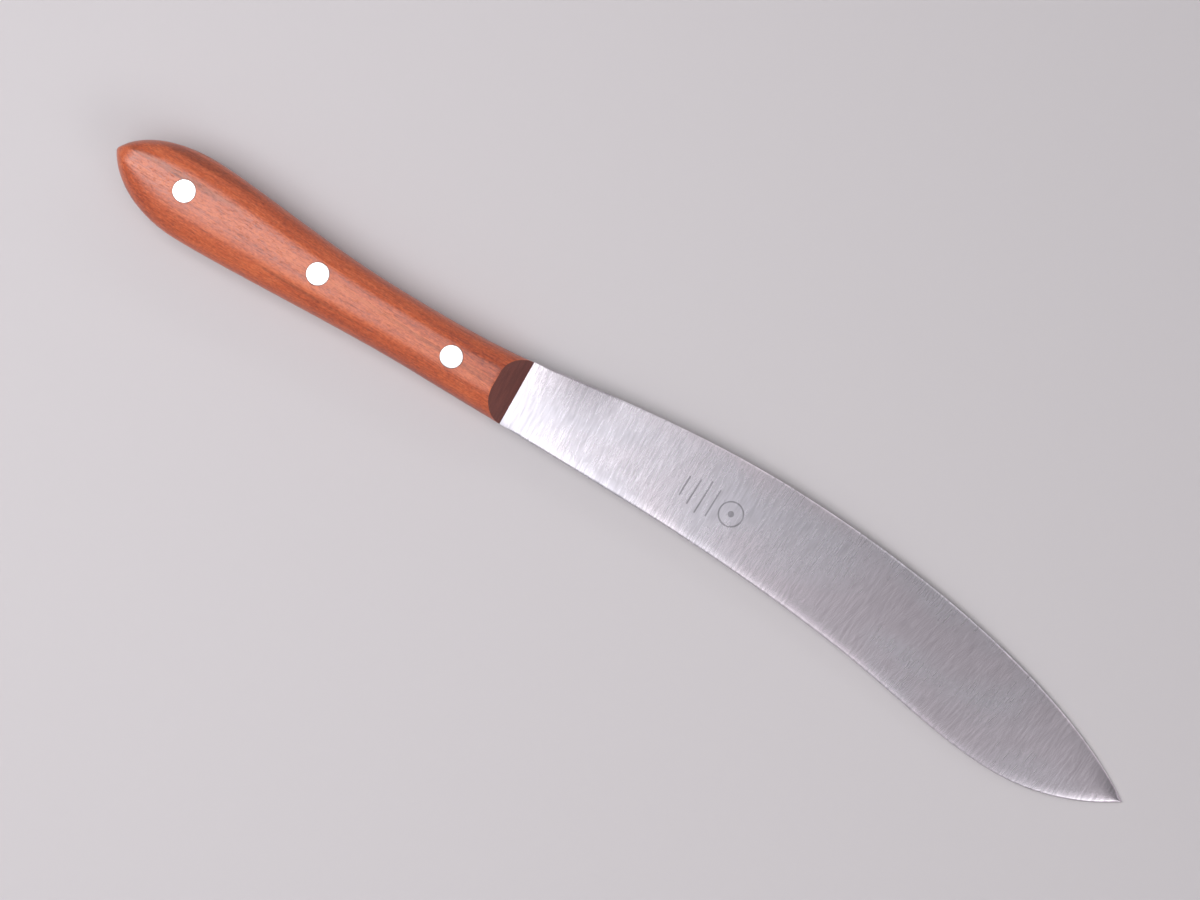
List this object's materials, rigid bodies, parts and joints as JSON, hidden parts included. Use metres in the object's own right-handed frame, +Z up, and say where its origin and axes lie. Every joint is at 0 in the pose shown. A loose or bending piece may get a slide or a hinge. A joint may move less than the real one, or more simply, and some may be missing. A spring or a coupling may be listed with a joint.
{
  "type": "boning knife",
  "caption": "Butcher's knife with a wide upswept blade on a full tang, between wooden scales held by flush round rivets; it lies flat on its side.",
  "frame": {"origin": "centre of the knife's box, on the flat that it lies on", "axes": "+X along the rivet line to the tip, +Y towards the cutting edge, +Z up out of the upper face; the steel is level"},
  "size_m": [0.2956, 0.0334, 0.0148],
  "materials": {
    "satin_steel": "satin, ground across the blade",
    "wood": "oiled, satin",
    "rivet_aluminium": "sanded flush"
  },
  "bodies": {
    "root": {"blade_with_tang": "satin_steel", "upper_scale": "wood", "lower_scale": "wood", "front_rivet_tube": "rivet_aluminium", "front_rivet_stud": "rivet_aluminium", "middle_rivet_tube": "rivet_aluminium", "middle_rivet_stud": "rivet_aluminium", "butt_rivet_tube": "rivet_aluminium", "butt_rivet_stud": "rivet_aluminium"}
  },
  "joints": []
}
